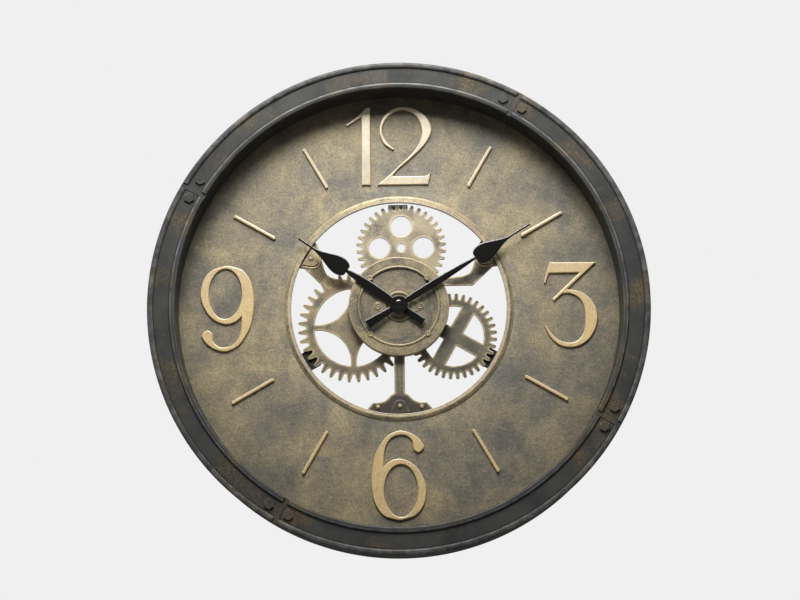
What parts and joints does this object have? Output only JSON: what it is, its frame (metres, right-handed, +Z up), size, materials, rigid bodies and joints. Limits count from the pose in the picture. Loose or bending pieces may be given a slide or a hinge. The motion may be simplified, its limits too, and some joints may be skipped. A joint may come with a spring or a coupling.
{
  "type": "gear wall clock",
  "caption": "Round wall clock with a deep bolted rim, raised numerals on a dial, an open centre of decorative gears, spade hands and a battery movement.",
  "frame": {"origin": "on the hand axis, halfway through the depth of the rim", "axes": "+X right and +Z up as seen from the front, +Y from the front towards the wall"},
  "size_m": [0.5, 0.06, 0.5],
  "materials": {
    "gunmetal": "dark aged gunmetal with brown patches and worn edges",
    "pewter": "mottled antique pewter, matt",
    "pale_gold": "pale gold paint, satin",
    "antique_brass": "antique brass paint with rubbed golden edges",
    "dark_iron": "dark matt paint",
    "black_paint": "satin black paint",
    "black_plastic": "moulded, matt",
    "steel": "zinc plated",
    "bright_brass": "stamped",
    "white_plastic": "moulded",
    "board": "lacquered board",
    "copper": "enamelled copper winding",
    "cell": "plain printed sleeve"
  },
  "bodies": {
    "clock_frame": {"rim_segment_right": "gunmetal", "rim_segment_bottom": "gunmetal", "rim_segment_left": "gunmetal", "rim_segment_top": "gunmetal", "rim_bolt_1": "gunmetal", "rim_bolt_2": "gunmetal", "rim_bolt_3": "gunmetal", "rim_bolt_4": "gunmetal", "rim_bolt_5": "gunmetal", "rim_bolt_6": "gunmetal", "rim_bolt_7": "gunmetal", "rim_bolt_8": "gunmetal", "dial_plate": "pewter", "numeral_12_one": "pale_gold", "numeral_12_two": "pale_gold", "numeral_3": "pale_gold", "numeral_6": "pale_gold", "numeral_9": "pale_gold", "hour_bar_1": "pale_gold", "hour_bar_2": "pale_gold", "hour_bar_4": "pale_gold", "hour_bar_5": "pale_gold", "hour_bar_7": "pale_gold", "hour_bar_8": "pale_gold", "hour_bar_10": "pale_gold", "hour_bar_11": "pale_gold", "opening_ring": "antique_brass", "strut_bottom": "antique_brass", "strut_right": "antique_brass", "strut_left": "antique_brass", "hub_ring": "antique_brass", "hub_plate": "antique_brass", "gear_top": "antique_brass", "gear_left": "antique_brass", "gear_right": "antique_brass", "gear_tab_top": "dark_iron", "gear_tab_right": "dark_iron", "gear_tab_left": "dark_iron", "movement_front_case": "black_plastic", "movement_back_case": "black_plastic", "hanger": "steel", "movement_nut": "steel", "battery_contact_positive": "steel", "battery_contact_negative": "steel", "stator": "steel", "circuit_board": "board", "drive_coil": "copper"},
    "minute": {"minute_hand": "black_paint", "hand_cap": "black_paint", "minute_arbor": "bright_brass"},
    "hour": {"hour_hand": "black_paint", "hour_wheel": "white_plastic"},
    "minute_wheel": {"minute_wheel": "white_plastic"},
    "setting_knob": {"setting_knob": "white_plastic"},
    "seconds_wheel": {"seconds_wheel": "white_plastic"},
    "rotor": {"rotor": "steel"},
    "intermediate_wheel": {"intermediate_wheel": "white_plastic"},
    "third_wheel": {"third_wheel": "bright_brass"},
    "centre_wheel": {"centre_wheel": "bright_brass"},
    "battery": {"battery": "cell"}
  },
  "joints": [
    {"name": "minute_turn", "type": "hinge", "parent": "clock_frame", "child": "minute", "pos_m": [0, 0, 0], "axis": [0, 1, 0], "continuous": true},
    {"name": "hour_turn", "type": "hinge", "parent": "clock_frame", "child": "hour", "pos_m": [0, 0, 0], "axis": [0, 1, 0], "continuous": true},
    {"name": "minute_wheel_turn", "type": "hinge", "parent": "clock_frame", "child": "minute_wheel", "pos_m": [0, 0, 0.009], "axis": [0, 1, 0], "continuous": true},
    {"name": "setting_turn", "type": "hinge", "parent": "clock_frame", "child": "setting_knob", "pos_m": [0.0045, 0, 0.01679], "axis": [0, 1, 0], "continuous": true},
    {"name": "seconds_turn", "type": "hinge", "parent": "clock_frame", "child": "seconds_wheel", "pos_m": [0, 0, 0], "axis": [0, 1, 0], "continuous": true},
    {"name": "rotor_turn", "type": "hinge", "parent": "clock_frame", "child": "rotor", "pos_m": [-0.0149, 0, 0.01145], "axis": [0, 1, 0], "continuous": true},
    {"name": "intermediate_turn", "type": "hinge", "parent": "clock_frame", "child": "intermediate_wheel", "pos_m": [-0.01049, 0, 0.00382], "axis": [0, 1, 0], "continuous": true},
    {"name": "third_turn", "type": "hinge", "parent": "clock_frame", "child": "third_wheel", "pos_m": [0.01043, 0, 0.0028], "axis": [0, 1, 0], "continuous": true},
    {"name": "centre_turn", "type": "hinge", "parent": "clock_frame", "child": "centre_wheel", "pos_m": [0, 0, 0], "axis": [0, 1, 0], "continuous": true},
    {"name": "battery_slide", "type": "slide", "parent": "clock_frame", "child": "battery", "axis": [0, 1, 0], "range_m": [0, 0.02]}
  ],
  "couplings": [
    {"joint": "hour_turn", "follows": "minute_turn", "ratio": 0.083333},
    {"joint": "minute_wheel_turn", "follows": "minute_turn", "ratio": -0.33333},
    {"joint": "setting_turn", "follows": "minute_turn", "ratio": 1},
    {"joint": "rotor_turn", "follows": "seconds_turn", "ratio": 30},
    {"joint": "intermediate_turn", "follows": "seconds_turn", "ratio": -5},
    {"joint": "third_turn", "follows": "seconds_turn", "ratio": -0.13333},
    {"joint": "centre_turn", "follows": "seconds_turn", "ratio": 0.016667}
  ]
}
